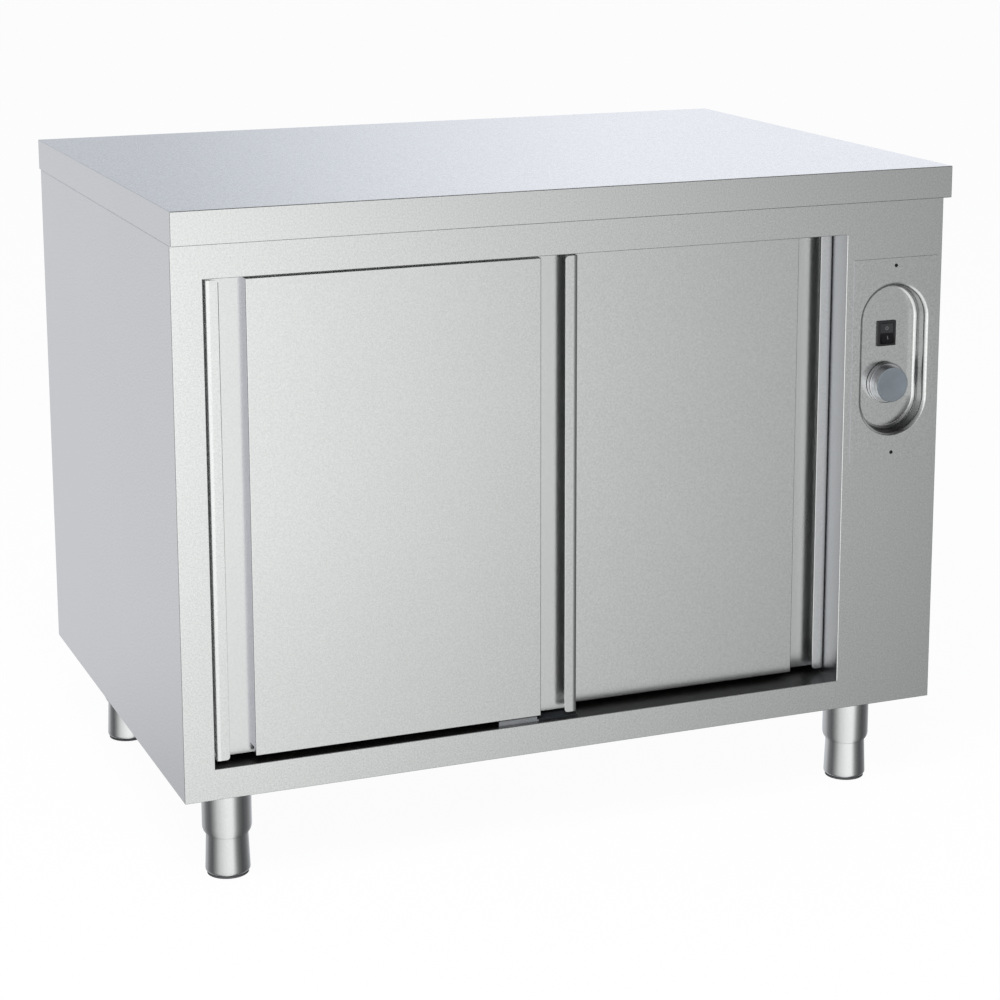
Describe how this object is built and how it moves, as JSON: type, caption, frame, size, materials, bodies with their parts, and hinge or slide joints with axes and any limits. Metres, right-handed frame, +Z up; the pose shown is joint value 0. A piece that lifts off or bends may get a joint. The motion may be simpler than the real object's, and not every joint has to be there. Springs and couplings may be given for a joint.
{
  "type": "hot cupboard",
  "caption": "Stainless hot cupboard with a flat worktop, hanging sliding doors with finger channels, a recessed thermostat and switch panel, and adjustable round legs.",
  "frame": {"origin": "on the floor, under the middle of the worktop", "axes": "+X to the right seen from the doors, +Y to the back, +Z up"},
  "size_m": [1, 0.7, 0.822],
  "materials": {
    "brushed_steel": "satin",
    "galvanised_steel": "matte",
    "mineral_wool": "matte",
    "black_plastic": "satin",
    "guide_plastic": "satin",
    "knob_metal": "satin",
    "copper": "satin"
  },
  "bodies": {
    "cabinet": {"worktop": "brushed_steel", "worktop_stiffeners": "galvanised_steel", "left_side_panel": "brushed_steel", "right_side_panel": "brushed_steel", "rear_panel": "brushed_steel", "base_panel": "brushed_steel", "front_frame": "brushed_steel", "control_panel": "brushed_steel", "control_panel_screws": "black_plastic", "chamber_left_wall": "brushed_steel", "chamber_right_wall": "brushed_steel", "chamber_rear_wall": "brushed_steel", "chamber_ceiling": "brushed_steel", "chamber_floor": "brushed_steel", "left_insulation": "mineral_wool", "rear_insulation": "mineral_wool", "ceiling_insulation": "mineral_wool", "floor_insulation": "mineral_wool", "shelf": "brushed_steel", "shelf_rails": "brushed_steel", "door_track": "galvanised_steel", "door_guide": "guide_plastic", "switch_housing": "black_plastic", "thermostat": "guide_plastic", "thermostat_bulb": "copper", "terminal_block": "guide_plastic", "cable_gland": "black_plastic", "heater_duct": "galvanised_steel", "heating_element": "galvanised_steel", "fan_motor": "galvanised_steel", "leg_flanges": "galvanised_steel", "leg_bolts": "galvanised_steel", "leg_tubes": "brushed_steel"},
    "left_door": {"left_door_face": "brushed_steel", "left_door_back": "brushed_steel", "left_door_lips": "brushed_steel", "left_door_insulation": "mineral_wool", "left_door_hangers": "galvanised_steel"},
    "right_door": {"right_door_face": "brushed_steel", "right_door_back": "brushed_steel", "right_door_lips": "brushed_steel", "right_door_insulation": "mineral_wool", "right_door_hangers": "galvanised_steel"},
    "left_door_roller_left": {"left_door_roller_left": "black_plastic"},
    "left_door_roller_right": {"left_door_roller_right": "black_plastic"},
    "right_door_roller_left": {"right_door_roller_left": "black_plastic"},
    "right_door_roller_right": {"right_door_roller_right": "black_plastic"},
    "thermostat_knob": {"thermostat_knob": "knob_metal", "thermostat_spindle": "galvanised_steel"},
    "switch_rocker": {"switch_rocker": "black_plastic"},
    "fan_impeller": {"fan_impeller": "guide_plastic"},
    "front_left_foot": {"front_left_foot": "brushed_steel", "front_left_foot_pad": "black_plastic"},
    "front_right_foot": {"front_right_foot": "brushed_steel", "front_right_foot_pad": "black_plastic"},
    "rear_left_foot": {"rear_left_foot": "brushed_steel", "rear_left_foot_pad": "black_plastic"},
    "rear_right_foot": {"rear_right_foot": "brushed_steel", "rear_right_foot_pad": "black_plastic"}
  },
  "joints": [
    {"name": "left_door_slide", "type": "slide", "parent": "cabinet", "child": "left_door", "axis": [1, 0, 0], "range_m": [0, 0.355]},
    {"name": "right_door_slide", "type": "slide", "parent": "cabinet", "child": "right_door", "axis": [-1, 0, 0], "range_m": [0, 0.355]},
    {"name": "left_door_roller_left_spin", "type": "hinge", "parent": "left_door", "child": "left_door_roller_left", "pos_m": [-0.379, -0.329, 0.7642], "axis": [0, 1, 0], "continuous": true},
    {"name": "left_door_roller_right_spin", "type": "hinge", "parent": "left_door", "child": "left_door_roller_right", "pos_m": [-0.084, -0.329, 0.7642], "axis": [0, 1, 0], "continuous": true},
    {"name": "right_door_roller_left_spin", "type": "hinge", "parent": "right_door", "child": "right_door_roller_left", "pos_m": [-0.02, -0.3, 0.7642], "axis": [0, -1, 0], "continuous": true},
    {"name": "right_door_roller_right_spin", "type": "hinge", "parent": "right_door", "child": "right_door_roller_right", "pos_m": [0.275, -0.3, 0.7642], "axis": [0, -1, 0], "continuous": true},
    {"name": "thermostat_turn", "type": "hinge", "parent": "cabinet", "child": "thermostat_knob", "pos_m": [0.426, -0.324, 0.547], "axis": [0, 1, 0], "range_deg": [0, 270]},
    {"name": "switch_tip", "type": "hinge", "parent": "cabinet", "child": "switch_rocker", "pos_m": [0.426, -0.3242, 0.61], "axis": [1, 0, 0], "range_deg": [0, 22]},
    {"name": "fan_spin", "type": "hinge", "parent": "cabinet", "child": "fan_impeller", "pos_m": [0.395, 0.124, 0.44], "axis": [1, 0, 0], "continuous": true},
    {"name": "front_left_foot_screw", "type": "slide", "parent": "cabinet", "child": "front_left_foot", "axis": [0, 0, -1], "range_m": [0, 0.045]},
    {"name": "front_right_foot_screw", "type": "slide", "parent": "cabinet", "child": "front_right_foot", "axis": [0, 0, -1], "range_m": [0, 0.045]},
    {"name": "rear_left_foot_screw", "type": "slide", "parent": "cabinet", "child": "rear_left_foot", "axis": [0, 0, -1], "range_m": [0, 0.045]},
    {"name": "rear_right_foot_screw", "type": "slide", "parent": "cabinet", "child": "rear_right_foot", "axis": [0, 0, -1], "range_m": [0, 0.045]}
  ],
  "couplings": [
    {"joint": "left_door_roller_left_spin", "follows": "left_door_slide", "rad_per_m": 125},
    {"joint": "left_door_roller_right_spin", "follows": "left_door_slide", "rad_per_m": 125},
    {"joint": "right_door_roller_left_spin", "follows": "right_door_slide", "rad_per_m": 125},
    {"joint": "right_door_roller_right_spin", "follows": "right_door_slide", "rad_per_m": 125}
  ]
}
